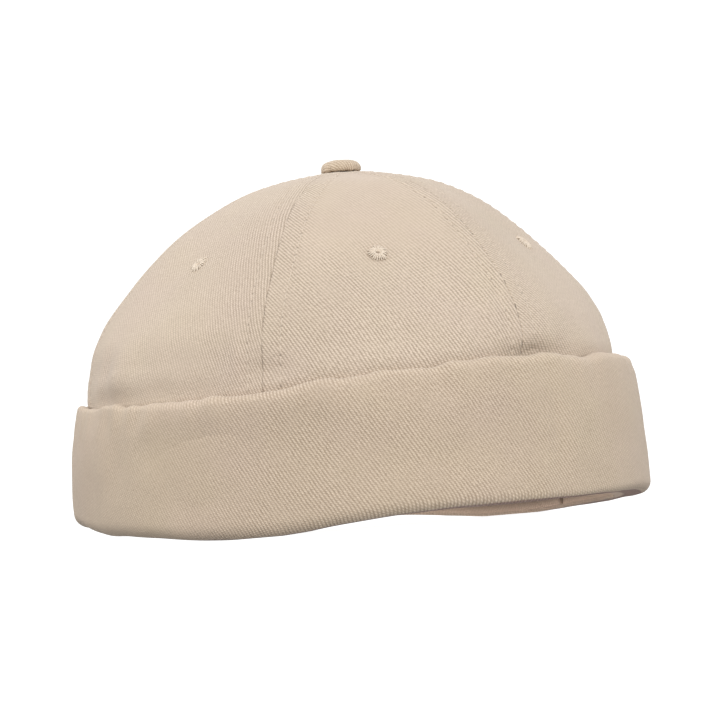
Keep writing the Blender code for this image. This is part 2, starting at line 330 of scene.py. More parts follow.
def crown_point(azimuth, t):
    # Outer surface of the crown.
    width, height, flat = (profile(t, column) for column in range(3))
    middle_share = 0.5 + 0.5 * math.cos(math.radians(azimuth) * PANEL_COUNT)
    swell = 0.0
    for at, up, depth, spread, spread_up in DENTS:
        turn = degrees_from(azimuth, at) / spread
        swell += depth * math.exp(-turn**2 - ((height - up) / spread_up)**2)
    above = max(0.0, height * CROWN_HEIGHT - cuff_top(azimuth))
    swell *= min(1.0, above / CROWN_FREE)
    base, normal = ellipse(azimuth)
    point = base * width * (1.0 - flat * middle_share) + normal * swell * CROWN_HALF_WIDTH
    point.z = height * CROWN_HEIGHT
    lean = CROWN_LEAN * above / (CROWN_HEIGHT - CUFF_HEIGHT)
    a = math.radians(LEAN_AZIMUTH)
    return settle(point + Vector((math.sin(a), -math.cos(a), 0.0)) * lean, azimuth)


def crown_normal(azimuth, t):
    side = crown_point(azimuth + PROBE_TURN, t) - crown_point(azimuth - PROBE_TURN, t)
    rise = crown_point(azimuth, t + PROBE_STEP) - crown_point(azimuth, t - PROBE_STEP)
    return side.normalized().cross(rise.normalized()).normalized()


def smooth(low, high, value):
    f = min(max((value - low) / (high - low), 0.0), 1.0)
    return f * f * (3.0 - 2.0 * f)


def bell(distance, width):
    return math.exp(-(distance / width)**2)


def lumps(place, size, height):
    # Smooth noise of about the given size.
    return noise.noise(place / size) * height


def folds(table, azimuth, height):
    # Rise of the folds in a table at an azimuth and a height.
    total = 0.0
    for at, up, rise, spread, spread_up, slant in table:
        turn = degrees_from(azimuth, at, slant * (height - up))
        total += rise * math.exp(-(turn / spread)**2 - ((height - up) / spread_up)**2)
    return total


def cloth_grid(across, up, surface):
    # A sheet of quads. surface(column, row) gives a vertex's place, its relief and its two UVs:
    # "Cloth" in metres on the flat cloth, and "Seam", which says how far it lies from seams and
    # edges. On the crown that is (distance over that of the topstitched row, metres along the seam).
    bm = bmesh.new()
    bmesh.ops.create_grid(bm, x_segments=across, y_segments=up, size=0.5)
    relief = bm.verts.layers.float.new("relief")
    maps = [bm.loops.layers.uv.new(name) for name in ("Cloth", "Seam")]
    for vert in bm.verts:
        column, row = round((vert.co.x + 0.5) * across), round((vert.co.y + 0.5) * up)
        vert.co, vert[relief], *places = surface(column, row)
        for loop in vert.link_loops:
            for layer, place in zip(maps, places):
                loop[layer].uv = place
    return bm


def thicken(bm, thickness):
    # Gives the sheet its inner side and its edges, then raises the outer side by its relief. The
    # extrusion turns the faces that stay behind, so that they look inwards.
    bm.normal_update()
    relief = bm.verts.layers.float["relief"]
    outward = bm.verts.layers.float_vector.new("outward")
    for vert in bm.verts:
        vert[outward] = vert.normal
    inner = bm.verts[:]
    outer = bmesh.ops.extrude_face_region(
        bm, geom=inner + bm.edges[:] + bm.faces[:], use_keep_orig=True)["geom"]
    for vert in inner:
        vert.co -= vert[outward] * thickness
    for vert in outer:
        if isinstance(vert, bmesh.types.BMVert):
            vert.co += vert[outward] * vert[relief]
    bm.verts.layers.float_vector.remove(outward)
    bm.verts.layers.float.remove(bm.verts.layers.float["relief"])


def finished(name, bm, material, slot, *nodes):
    # Makes the piece, which rides on the hat and stands for its CAD nodes.
    mesh = bpy.data.meshes.new(name)
    bm.to_mesh(mesh)
    bm.free()
    mesh.materials.append(material)
    mesh.shade_smooth()
    mesh.set_sharp_from_angle(angle=math.radians(SHARP_ANGLE))
    piece = bpy.data.objects.new(name, mesh)
    bpy.context.scene.collection.objects.link(piece)
    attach(piece, "root")
    if nodes:
        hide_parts(*nodes)


class Value:
    # A shader socket that Python's operators work on.
    def __init__(self, finish, socket):
        self.finish, self.socket = finish, socket

    def math(self, operation, *others):
        return self.finish.math(operation, self, *others)

    def __add__(self, other):
        return self.math("ADD", other)

    def __sub__(self, other):
        return self.math("SUBTRACT", other)

    def __mul__(self, other):
        return self.math("MULTIPLY", other)

    def __truediv__(self, other):
        return self.math("DIVIDE", other)

    def __rsub__(self, other):
        return self.finish.math("SUBTRACT", other, self)

    __radd__ = __add__


class Finish:
    # A material in the making.
    def __init__(self, name):
        self.material = bpy.data.materials.new(name)
        self.material.use_nodes = True
        self.tree = self.material.node_tree
        self.shader = self.tree.nodes["Principled BSDF"]

    def feed(self, socket, value):
        if isinstance(value, Value):
            self.tree.links.new(value.socket, socket)
        else:
            socket.default_value = value

    def node(self, kind, settings, sockets, output=0):
        # Adds a node: its settings first, then the values or links of its sockets.
        made = self.tree.nodes.new(kind)
        for name, setting in settings.items():
            setattr(made, name, setting)
        for name, value in sockets.items():
            self.feed(made.inputs[name], value)
        return Value(self, made.outputs[output])

    def math(self, operation, *values):
        return self.node("ShaderNodeMath", {"operation": operation}, dict(enumerate(values)))

    def between(self, value, low, high):
        # 0 below low and 1 above high, with a smooth step between them.
        return self.node("ShaderNodeMapRange", {"interpolation_type": "SMOOTHSTEP"},
                         {"Value": value, "From Min": low, "From Max": high})

    def mix(self, share, first, second):
        return self.node("ShaderNodeMix", {"data_type": "RGBA"},
                         {"Factor": share, 6: first, 7: second}, 2)

    def tinted(self, colour, tint):
        return self.node("ShaderNodeVectorMath", {"operation": "MULTIPLY"}, {0: colour, 1: tint})

    def split(self, vector):
        parts = self.tree.nodes.new("ShaderNodeSeparateXYZ")
        self.feed(parts.inputs[0], vector)
        return [Value(self, output) for output in parts.outputs]

    def uv(self, name):
        return self.node("ShaderNodeUVMap", {"uv_map": name}, {})

    def place(self):
        return self.node("ShaderNodeTexCoord", {}, {}, "Object")

    def noise(self, vector, size, strength=1.0, detail=2.0):
        # Noise of about the given size in metres, from -0.5 to 0.5 of its strength.
        level = self.node("ShaderNodeTexNoise", {}, {
            "Vector": vector, "Scale": 1.0 / size, "Detail": detail}) - 0.5
        return level * strength

    def bump(self, height, distance, strength):
        return self.node("ShaderNodeBump", {}, {
            "Height": height, "Distance": distance, "Strength": strength})

    def surface(self, sockets):
        # Feeds the shader, which completes the material.
        for name, value in sockets.items():
            self.feed(self.shader.inputs[name], value)
        return self.material


# The weave's unevenness as (size in metres, strength, detail), and how its ribs and floats stand out.
LONG_WANDER = (0.012, 0.00060)
SHORT_WANDER = (0.0030, 0.00034)
YARN = (0.0011, 0.7, 1.0)
FUZZ = (0.0003, 0.15, 1.0)
RUBBING = (0.009, 1.6)
MOTTLE = (0.0013, 0.34)
CLOUDS = (0.022, 0.18, 3.0)
BLOTCHES = (0.006, 0.10)
TINT_CLOUDS = (0.028, 1.8)
TINT_COOL = (1.0, 0.980, 0.990, 1.0)
TINT_WARM = (1.0, 1.0, 0.955, 1.0)
WHITE = (1.0, 1.0, 1.0, 1.0)
RIDGE_POWER = 0.8
FLOAT_DEPTH = 0.60
WEAVE_MIDDLE = 0.40
WEAVE_BUMP = 0.00022
BUMP_STRENGTH = 0.8
CLOTH_ROUGHNESS = 0.92
RIDGE_SMOOTHNESS = 0.08

# The ribs are crisp low on the hat's left side and rubbed softer and mottled elsewhere. facing is 1
# on the side that looks along the azimuth; pairs are (where none, where full).
CRISP_AZIMUTH = math.radians(62.0)
AXIS_GUARD = 0.0001
CRISP_LEAST = 0.50
CRISP_BESIDE = (0.15, 0.60)
CRISP_BESIDE_SHARE = 0.10
CRISP_FACING = (0.60, 0.96)
CRISP_FACING_SHARE = 0.64
WORN_HEIGHT = (0.082, 0.102)
WORN_FACING = (0.86, 0.94)
WORN_SHARE = 0.68
MOTTLE_GONE = (0.50, 0.92)

# The dark marks of the sewing: needle holes in shares of a stitch, the seam's thread in shares of
# the topstitched row's distance, and where both fade.
HOLE = (0.05, 0.16)
DRAWN_NOISE = (-0.12, 0.14)
SEAM_LINE = (0.015, 0.070)
SEAM_DASH = (-0.4, 0.5)
DASH_SHARE = 0.80
DASH_BETWEEN = 0.08
PULLED_SIDE = (0.072, 0.083)
PULLED_SHARE = 1.2
FADED_HEIGHT = (0.110, 0.122)
FADED_SHARE = 0.9
MARKED_FACING = (0.05, 0.5)
MARKED_SHARE = 0.6
MARK_SHARE = 0.5
MARK_DARKNESS = 0.42


def twill(name, ridge_colour, groove_colour, contrast=1.0, pitch=RIB_PITCH, angle=RIB_ANGLE,
          stitched=False, underside_shade_colours=None, shaded_band=False):
    # Cotton twill: diagonal ribs made of short floats, in the piece's own Cloth map.
    finish = Finish(name)
    cloth, place = finish.uv("Cloth"), finish.place()
    x, y, _ = finish.split(cloth)
    px, py, pz = finish.split(place)
    sine, cosine = math.sin(math.radians(angle)), math.cos(math.radians(angle))

    wander = finish.noise(cloth, *LONG_WANDER) + finish.noise(cloth, *SHORT_WANDER)
    rib = (x * sine + y * cosine + wander) / pitch
    ridge = (rib * math.tau).math("COSINE") * 0.5 + 0.5
    floats = ((y * sine - x * cosine) / FLOAT_LENGTH + rib * (1.0 + FLOAT_SHIFT)) * math.tau
    bead = floats.math("COSINE") * 0.5 + 0.5
    weave = ridge.math("POWER", RIDGE_POWER) * (bead * FLOAT_DEPTH + (1.0 - FLOAT_DEPTH))
    weave = weave + finish.noise(cloth, *YARN)

    facing = px * math.sin(CRISP_AZIMUTH) - py * math.cos(CRISP_AZIMUTH)
    facing = facing / (px * px + py * py + AXIS_GUARD).math("SQRT")
    worn = finish.between(pz, *WORN_HEIGHT) * finish.between(facing, *WORN_FACING) * WORN_SHARE
    crisp = finish.between(facing, *CRISP_FACING) * CRISP_FACING_SHARE
    crisp = crisp + finish.between(facing, *CRISP_BESIDE) * CRISP_BESIDE_SHARE + CRISP_LEAST
    crisp = crisp * (1.0 - worn)
    rubbed = finish.noise(place, *RUBBING) + 1.0
    shade = (weave - WEAVE_MIDDLE) * crisp * rubbed * contrast + 0.5
    mottle = finish.noise(cloth, *MOTTLE) * (1.0 - finish.between(facing, *MOTTLE_GONE))
    shade = shade + mottle + finish.noise(place, *CLOUDS) + finish.noise(place, *BLOTCHES)
    colour = finish.mix(shade, groove_colour, ridge_colour)
    if underside_shade_colours:
        # The cuff's underside, up to the turn of its bottom fold, is coloured a darker mauve-brown as
        # painted shade, with a painted contact shadow across it under the lip, and its lip carries a
        # painted highlight.
        past_tread, from_lip, _ = finish.split(finish.uv("Seam"))
        # Painted highlight: the cuff is lighter towards the top of its lip.
        lip_highlight = finish.mix(1.0 - finish.between(from_lip, 0.0, LIP_HIGHLIGHT_REACH), WHITE, LIP_HIGHLIGHT)
        colour = finish.tinted(colour, lip_highlight)
        # Painted shade: the underside up to the corner takes the darker mauve-brown colours.
        underside_shade = 1.0 - finish.between(past_tread, *UNDERSIDE_SHADE_END)
        colour = finish.mix(underside_shade, colour, finish.mix(shade, *underside_shade_colours))
        # Painted contact shadow across the tread and corner under the lip.
        contact_shade = finish.between(past_tread, *CONTACT_SHADE_START)
        contact_shade = contact_shade * (1.0 - finish.between(past_tread, *CONTACT_SHADE_END))
        colour = finish.tinted(colour, finish.mix(contact_shade, WHITE, CONTACT_SHADE))
    tint = finish.mix(finish.noise(place, *TINT_CLOUDS) + 0.5, TINT_COOL, TINT_WARM)
    colour = finish.tinted(colour, tint)
    if stitched:
        # Needle holes down the topstitched rows, and the dark thread of the seam between panels,
        # which is pulled open most low down on the left side.
        seam_x, seam_y, _ = finish.split(finish.uv("Seam"))
        drawn = finish.between(finish.noise(place, SEAM_UNEVEN), *DRAWN_NOISE)
        down = (seam_y / STITCH).math("FRACT") - 0.5
        off = (seam_x - 1.0) * (ROW_LEFT / STITCH)
        hole = 1.0 - finish.between((down * down + off * off).math("SQRT"), *HOLE)
        dash = finish.between((seam_y * (math.tau / STITCH)).math("COSINE"), *SEAM_DASH)
        line = (1.0 - finish.between(seam_x, *SEAM_LINE)) * (dash * DASH_SHARE + DASH_BETWEEN)
        line = line * (finish.between(px, *PULLED_SIDE) * PULLED_SHARE + 1.0)
        mark = (hole + line) * drawn * (1.0 - finish.between(pz, *FADED_HEIGHT) * FADED_SHARE)
        mark = mark * (finish.between(facing, *MARKED_FACING) * MARKED_SHARE + (1.0 - MARKED_SHARE))
        thread = (*[c * MARK_DARKNESS for c in groove_colour[:3]], 1.0)
        colour = finish.mix(mark * MARK_SHARE, colour, thread)
    if shaded_band:
        # Painted shade: the band darkens from its lower edge upwards into the hat, and darkens near its
        # lapped end.
        from_end, up, _ = finish.split(finish.uv("Seam"))
        rising_shade = finish.between(up, *BAND_SHADE_RISE)
        end_shade = 1.0 - finish.between(from_end, *END_SHADE_REACH)
        band_shade_colour = (*[c * BAND_SHADE_DARKNESS for c in groove_colour[:3]], 1.0)
        colour = finish.mix((rising_shade + end_shade * END_SHADE_SHARE).math("MINIMUM", 1.0), colour, band_shade_colour)
    height = weave * crisp + finish.noise(cloth, *FUZZ)
    return finish.surface({
        "Base Color": colour,
        "Normal": finish.bump(height, WEAVE_BUMP, BUMP_STRENGTH),
        "Roughness": CLOTH_ROUGHNESS - weave * RIDGE_SMOOTHNESS,
        "Specular IOR Level": 0.25,
        "Sheen Weight": 0.12,
        "Sheen Roughness": 0.6,
    })


# The crown's colours are lighter than the cuff's though both are the same twill; the difference is
# painted shade on the cuff's upright face.
crown_twill = twill("crown_twill", (0.622, 0.521, 0.424, 1.0), (0.350, 0.279, 0.213, 1.0),
                    stitched=True)


def arc_lengths(azimuth, steps=MERIDIAN_STEPS):
    # Steps t of the crown up one meridian with the length from the rim to each.
    last = len(PROFILE) - 1
    start = step_at((CROWN_CLOTH + FIT) / CROWN_HEIGHT)
    ts = [start + (last - start) * i / steps for i in range(steps + 1)]
    lengths = [0.0]
    for a, b in zip(ts, ts[1:]):
        lengths.append(lengths[-1] + (crown_point(azimuth, b) - crown_point(azimuth, a)).length)
    return ts, lengths


def t_at(table, length):
    ts, lengths = table
    low, high = 0, len(ts) - 1
    while high - low > 1:
        middle = (low + high) // 2
        if lengths[middle] <= length:
            low = middle
        else:
            high = middle
    share = (length - lengths[low]) / (lengths[high] - lengths[low])
    return ts[low] + (ts[high] - ts[low]) * share


def girth(middle, t):
    # Radius by which an azimuth becomes a distance across the panel.
    base, _ = ellipse(middle)
    return max(base.length * profile(t, 0) * (1.0 - profile(t, 2)), LEAST_GIRTH)


def squeeze(half):
    # How far the columns beside the seams close up where the panel gets narrow.
    return min(1.0, half / (SEAM_COLUMNS[-1] * CLOSING_SHARE))


def crown_relief(distance, row, along, place, unit):
    # What the sewing does to the cloth: rolled seam edge, doubled allowance, stitch channel.
    depth = 0.0
    roll = SEAM_ROLL * unit
    if distance < roll:
        depth = min(roll - math.sqrt(max(roll**2 - (roll - distance)**2, 0.0)), SEAM_DEPTH)
    uneven = max(0.0, 0.5 + noise.noise(place / SEAM_UNEVEN))
    depth *= SEAM_LEAST + SEAM_MORE * uneven * smooth(*SEAM_HEIGHT, place.z)
    beat = math.cos(math.tau * along / STITCH)
    drawn = DRAWN_LEVEL + lumps(place, DRAWN_SIZE, DRAWN_RANGE)
    ridge = smooth(row + ALLOWANCE_FOOT * unit, row - ALLOWANCE_TOP * unit, distance)
    rise = ALLOWANCE_RISE * unit * ridge
    channel = STITCH_CHANNEL * bell(distance - row, CHANNEL_WIDTH * unit)
    channel *= CHANNEL_LEVEL - CHANNEL_BEAT * beat
    pucker = PUCKER * beat * drawn * bell(distance - row, PUCKER_WIDTH * unit)
    notch = NOTCH * (0.5 - 0.5 * beat) * drawn * bell(distance, NOTCH_WIDTH)
    soft = lumps(place, *CROWN_SWELL) + lumps(place, *CROWN_LUMPS)
    low = smooth(*UPRIGHT_HEIGHT, place.z)
    low *= UPRIGHT_BEHIND + (1.0 - UPRIGHT_BEHIND) * smooth(*UPRIGHT_FRONT, place.y)
    drawn_out = Vector((place.x / UPRIGHT_WIDTH, place.y / UPRIGHT_WIDTH, place.z / UPRIGHT_LENGTH))
    fold = noise.noise(drawn_out) * UPRIGHT_RISE * low
    return rise - channel + pucker - notch - depth + soft + fold


def lip_wave(azimuth):
    # The cuff's lip rises and falls a little where its gathers are tight, and dips at the front.
    wave = lumps(ellipse(azimuth)[0], LIP_WAVE_SIZE, LIP_WAVE)
    return wave - LIP_DIP * bell(degrees_from(azimuth, LIP_DIP_AZIMUTH), LIP_DIP_SPREAD)


def tucked(azimuth, place):
    # How the crown puffs out over the cuff's lip, and its small folds.
    above = place.z - cuff_top(azimuth) - lip_wave(azimuth)
    puff = LIP_PUFF * smooth(*PUFF_RISE, above) * smooth(*PUFF_FALL, above)
    puff *= 1.0 - FLATTER_SHARE * bell(degrees_from(azimuth, FLATTER_AZIMUTH), FLATTER_SPREAD)
    return puff + folds(CROWN_FOLDS, azimuth, place.z)


half_panel = math.pi / PANEL_COUNT
for side, middle, eyelet_azimuth, eyelet_height, grain, curl, give, drift in PANELS:
    lengths = arc_lengths(middle)
    whole = lengths[1][-1]
    shown = CUFF_HEIGHT - HIDDEN_EDGE
    top = whole - APEX_GAP
    rows = [shown * i / HIDDEN_ROWS for i in range(HIDDEN_ROWS)]
    rows += [shown + (top - shown) * i / PANEL_ROWS for i in range(PANEL_ROWS + 1)]
    steps = [t_at(lengths, length) for length in rows]
    columns = 2 * len(SEAM_COLUMNS) + MIDDLE_COLUMNS - 1
    eyelet = crown_point(eyelet_azimuth, step_at(eyelet_height))

    def on_panel(column, row):
        t, along = steps[row], rows[row]
        radius = girth(middle, t)
        half = half_panel * radius - SEAM_GAP / 2
        unit = squeeze(half)
        left = column <= columns / 2
        beside = column if left else columns - column
        if beside < len(SEAM_COLUMNS):
            distance = SEAM_COLUMNS[beside] * unit
        else:
            inner = half - SEAM_COLUMNS[-1] * unit
            inwards = (beside - len(SEAM_COLUMNS) + 1) / (MIDDLE_COLUMNS / 2 + 0.5)
            distance = half - inner * (1.0 - inwards)
        offset = (distance - half) if left else (half - distance)
        azimuth = middle + math.degrees(offset / radius)
        place = crown_point(azimuth, t)
        stitch_row = (ROW_LEFT if left else ROW_RIGHT) * unit
        relief = crown_relief(distance, stitch_row, along, place, unit)
        relief += tucked(azimuth, place)
        relief -= EYELET_DIMPLE * bell((place - eyelet).length, DIMPLE_WIDTH)
        # On the flat gore this row is an arc, which the steamed cloth of the crown eases.
        reach = max(whole - along, LEAST_LENGTH) / curl
        turn = offset / reach
        over = reach * math.sin(turn) * (1.0 / give - drift * offset / half / 2)
        up = (reach * (1.0 - math.cos(turn)) + along) / give
        lean = math.radians(grain - RIB_ANGLE)
        cloth = (over * math.cos(lean) - up * math.sin(lean),
                 up * math.cos(lean) + over * math.sin(lean))
        return place, relief, cloth, (distance / stitch_row, along)

    bm = cloth_grid(columns, len(rows) - 1, on_panel)
    hole = [f for f in bm.faces if (f.calc_center_median() - eyelet).length < EYELET_HOLE]
    bmesh.ops.delete(bm, geom=hole, context="FACES")
    thicken(bm, CROWN_CLOTH)
    finished("crown_panel_" + side + "_cloth", bm, crown_twill, "crown_twill", "crown_panel_" + side)

# Topstitching. A row of matching cotton lockstitch runs down both sides of every seam and holds
# the allowances open; each stitch is a short float of thread that dives into the cloth at its ends.
THREAD_RADIUS = 0.00014
THREAD_TWIST = 0.0009
THREAD_CLOUDS = (0.0010, 0.5)
THREAD_BUMP = 0.00006
THREAD_SIDES = 6
STITCH_SHARE = 0.80
STITCH_PATH = (
    # share of the stitch's length, depth in the cloth as a share of the thread's radius
    (-0.50, 2.6),
    (-0.42, 0.6),
    (-0.20, -0.3),
    (0.20, -0.3),
    (0.42, 0.6),
    (0.50, 2.6),
)
WELD = 1e-6

# The rows start inside the cuff and stop short of the apex.
ROW_START = CUFF_HEIGHT - 0.005
ROW_SHORT = 0.0090


def cotton_thread(name, light, dark):
    # Soft mercerised thread with a faint twist along it.
    finish = Finish(name)
    x, y, _ = finish.split(finish.uv("Cloth"))
    twist = ((x / math.tau + y / THREAD_TWIST) * math.tau).math("COSINE") * 0.5 + 0.5
    shade = twist * 0.5 + 0.35 + finish.noise(finish.place(), *THREAD_CLOUDS)
    return finish.surface({
        "Base Color": finish.mix(shade, dark, light),
        "Normal": finish.bump(twist, THREAD_BUMP, 0.7),
        "Roughness": 0.8,
        "Specular IOR Level": 0.3,
        "Sheen Weight": 0.15,
    })


def add_thread(bm, path, radius, up, sides=THREAD_SIDES):
    # A tube of thread along a path, pinched shut at both ends.
    maps = bm.loops.layers.uv.get("Cloth") or bm.loops.layers.uv.new("Cloth")
    rings = len(path) - 1
    made = bmesh.ops.create_grid(bm, x_segments=sides, y_segments=rings, size=0.5)["verts"]
    length = 0.0
    for ring in range(rings + 1):
        ahead = (path[min(ring + 1, rings)] - path[max(ring - 1, 0)]).normalized()
        across = ahead.cross(up).normalized()
        lift = across.cross(ahead)
        if ring:
            length += (path[ring] - path[ring - 1]).length
        wide = 0.0 if ring in (0, rings) else radius
        for vert in made[ring * (sides + 1):(ring + 1) * (sides + 1)]:
            turn = (vert.co.x + 0.5) * math.tau
            vert.co = path[ring] + (across * math.cos(turn) + lift * math.sin(turn)) * wide
            for loop in vert.link_loops:
                loop[maps].uv = (turn, length)


seam_thread = cotton_thread("seam_thread", (0.64, 0.545, 0.445, 1.0), (0.46, 0.38, 0.30, 1.0))

bm = bmesh.new()
for _, middle, *_ in PANELS:
    lengths = arc_lengths(middle)
    count = int((lengths[1][-1] - ROW_SHORT) / STITCH)
    for edge, row in ((-1.0, ROW_LEFT), (1.0, ROW_RIGHT)):
        for number in range(int(ROW_START / STITCH), count):
            path = []
            for share, sink in STITCH_PATH:
                along = (number + 1.0) * STITCH + share * STITCH * STITCH_SHARE
                t = t_at(lengths, along)
                radius = girth(middle, t)
                half = half_panel * radius - SEAM_GAP / 2
                unit = squeeze(half)
                azimuth = middle + math.degrees(edge * (half - row * unit) / radius)
                normal, seat = crown_normal(azimuth, t), crown_point(azimuth, t)
                relief = crown_relief(row * unit, row * unit, along, seat, unit) + tucked(azimuth, seat)
                path.append(seat + normal * (relief - sink * THREAD_RADIUS))
            add_thread(bm, path, THREAD_RADIUS, normal)
bmesh.ops.remove_doubles(bm, verts=bm.verts, dist=WELD)
bmesh.ops.recalc_face_normals(bm, faces=bm.faces)
finished("crown_topstitching", bm, seam_thread, "eyelet_thread")

# Eyelets. One sewn vent hole high on each gore, overcast with close radial stitches of the same
# cotton over a laid-in ring of thread, so it stands proud and dimples the cloth around it.
EYELET_RADIUS = 0.0034
EYELET_BORE = 0.0008
EYELET_STITCHES = 26
EYELET_THREAD = 0.00022
EYELET_SINK = 0.00030
EYELET_PATH = (
    # radius share from the bore to the rim, height in metres
    (-0.05, -0.00110),
    (0.00, 0.00020),
    (0.12, 0.00070),
    (0.38, 0.00085),
    (0.66, 0.00062),
    (0.90, 0.00022),
    (1.00, -0.00030),
)

# How unevenly the stitches were sewn: their spacing, reach, lean and height.
UNEVEN_SPACING = 0.22
UNEVEN_REACH = (0.88, 1.20)
UNEVEN_LEAN = 0.05
UNEVEN_HEIGHT = (0.85, 1.15)

PADDING_RADIUS = 0.0018
PADDING_THREAD = 0.00055
PADDING_RISE = 0.00006
PADDING_SIDES = 8
PADDING_STEPS = 28

eyelet_cotton = cotton_thread("eyelet_thread", (0.72, 0.62, 0.51, 1.0), (0.50, 0.42, 0.33, 1.0))
ring = bmesh.new()
bmesh.ops.create_circle(
    ring, segments=PADDING_SIDES, radius=PADDING_THREAD,
    matrix=Matrix.Translation((PADDING_RADIUS, 0.0, PADDING_RISE)) @ Matrix.Rotation(math.pi / 2, 4, "X"))
bmesh.ops.spin(ring, geom=ring.verts[:] + ring.edges[:], cent=(0, 0, 0), axis=(0, 0, 1),
               angle=math.tau, steps=PADDING_STEPS, use_merge=True)
padding = bpy.data.meshes.new("padding")
ring.to_mesh(padding)
ring.free()

chance = random.Random(11)
for side, _, eyelet_azimuth, eyelet_height, *_ in PANELS:
    t = step_at(eyelet_height)
    seat, outward = crown_point(eyelet_azimuth, t), crown_normal(eyelet_azimuth, t)
    turned = outward.to_track_quat("Z", "Y").to_matrix().to_4x4()
    bm = bmesh.new()
    for number in range(EYELET_STITCHES):
        spacing = chance.uniform(-UNEVEN_SPACING, UNEVEN_SPACING)
        angle = math.tau * (number + spacing) / EYELET_STITCHES
        reach = EYELET_RADIUS * chance.uniform(*UNEVEN_REACH) - EYELET_BORE
        lean = chance.uniform(-UNEVEN_LEAN, UNEVEN_LEAN)
        high = chance.uniform(*UNEVEN_HEIGHT)
        path = []
        for share, up in EYELET_PATH:
            r, a = EYELET_BORE + reach * share, angle + lean * share
            path.append(Vector((r * math.cos(a), r * math.sin(a), up * high if up > 0 else up)))
        add_thread(bm, path, EYELET_THREAD, Vector((0.0, 0.0, 1.0)))
    bmesh.ops.remove_doubles(bm, verts=bm.verts, dist=WELD)
    bm.from_mesh(padding)
    bmesh.ops.recalc_face_normals(bm, faces=bm.faces)
    place = Matrix.Translation(seat - outward * EYELET_SINK) @ turned
    bmesh.ops.transform(bm, matrix=place, verts=bm.verts)
    finished("eyelet_" + side + "_stitches", bm, eyelet_cotton, "eyelet_thread", "eyelet_" + side)
bpy.data.meshes.remove(padding)

# Button. A domed disc covered with a circle of the same twill, gathered under it and riveted
# through the point where the six gores meet.
BUTTON_RADIUS = 0.00715
BUTTON_HEIGHT = 0.0042
BUTTON_CLOTH = 0.0008
BUTTON_SECTION = (
    # radius, height
    (0.00, 1.00),
    (0.34, 0.98),
    (0.64, 0.90),
    (0.86, 0.73),
    (0.97, 0.48),
    (1.00, 0.24),
    (0.97, 0.03),
    (0.88, -0.06),
    (0.40, -0.10),
)
BUTTON_ROWS = 40
BUTTON_COLUMNS = 96

# The cover's two rounds of pleats low on the button and its soft lumps; pairs are (where none,
# where full).
PLEAT = 0.00012
PLEAT_COUNTS = (13, 8)
SECOND_SHARE = 0.6
PLEAT_HEIGHT = (0.55, 0.0)
LUMP = 0.00016
LUMP_REACH = (0.0, 0.3)
LUMPS_ROUND = 1.3
LUMPS_UP = 300.0

button_twill = twill("button_twill", (0.640, 0.535, 0.425, 1.0), (0.340, 0.258, 0.180, 1.0),
                     contrast=1.6, pitch=0.00100, angle=0.0)


def along_section(points, length, lengths):
    # Point of a section at a length from its start, on a spline through its points.
    last = len(points) - 1
    i = 0
    while i < last - 1 and lengths[i + 1] < length:
        i += 1
    index = [max(i - 1, 0), i, i + 1, min(i + 2, last)]
    x = [lengths[k] for k in index]
    if i == 0:
        x[0] = x[1] - (x[2] - x[1])
    if i == last - 1:
        x[3] = x[2] + (x[2] - x[1])
    return tuple(spline(length, *x, *[points[k][axis] for k in index]) for axis in (0, 1))


def section_lengths(points):
    lengths = [0.0]
    for a, b in zip(points, points[1:]):
        lengths.append(lengths[-1] + math.dist(a, b))
    return lengths


apex = crown_point(0.0, len(PROFILE) - 1) + Vector((0.0, 0.0, FIT))
button_points = [(r * BUTTON_RADIUS, z * BUTTON_HEIGHT) for r, z in BUTTON_SECTION]
button_lengths = section_lengths(button_points)


def on_button(column, row):
    turn = math.tau * column / BUTTON_COLUMNS
    length = button_lengths[-1] * (1.0 - row / BUTTON_ROWS)
    r, z = along_section(button_points, length, button_lengths)
    r = max(r, 0.0)
    low = smooth(*PLEAT_HEIGHT, z / BUTTON_HEIGHT)
    first, second = (turn * count for count in PLEAT_COUNTS)
    pleat = low * PLEAT * (math.cos(first) + SECOND_SHARE * math.cos(second + 1.0))
    spot = Vector((math.cos(turn), math.sin(turn), z * LUMPS_UP)) * LUMPS_ROUND
    lump = noise.noise(spot) * LUMP * smooth(*LUMP_REACH, r / BUTTON_RADIUS)
    place = apex + Vector((math.sin(turn) * r, -math.cos(turn) * r, z))
    # The cover's weave lies flat over the dome's top.
    cloth = (length * math.sin(turn), -length * math.cos(turn))
    return place, pleat + lump, cloth, (0.0, 0.0)


bm = cloth_grid(BUTTON_COLUMNS, BUTTON_ROWS, on_button)
bmesh.ops.remove_doubles(bm, verts=bm.verts, dist=WELD)
thicken(bm, BUTTON_CLOTH)
finished("top_button_cover", bm, button_twill, "button_twill", "top_button")

# Cuff. One wide strip of the twill, folded double and turned up all round, rolled under the
# crown's edge at the bottom. It stands off the crown and flares, and its bottom edge waves.
CUFF_CLOTH = 0.0011
CUFF_FLARE = 0.0093
CUFF_CORNER = 0.0050
CUFF_SEAM = 176.0
BAND_CLOTH = 0.0010
CUFF_FACE = (
    # height, share of the way from the top stand-off to the full flare
    (0.34, 1.00),
    (0.56, 0.90),
    (0.74, 0.66),
    (0.87, 0.36),
)
INNER_LAYER = (0.60, 0.28)

# Rows of the mesh as shares: up to the end of the face, and up to the end of the fold over the top.
CUFF_COLUMNS = 330
CUFF_ROWS = 84
FACE_SHARE = 0.62
FOLD_SHARE = 0.86

# Places in the cuff's section, counted in its points.
CORNER_STEPS = 4
FOLD_STEPS = 6
TREAD_END = 2
CORNER_MIDDLE = TREAD_END + CORNER_STEPS // 2
FACE_END = TREAD_END + CORNER_STEPS + len(CUFF_FACE)
FOLD_START = FACE_END + 1
FOLD_TOP = FOLD_START + FOLD_STEPS // 2
FOLD_END = FOLD_START + FOLD_STEPS

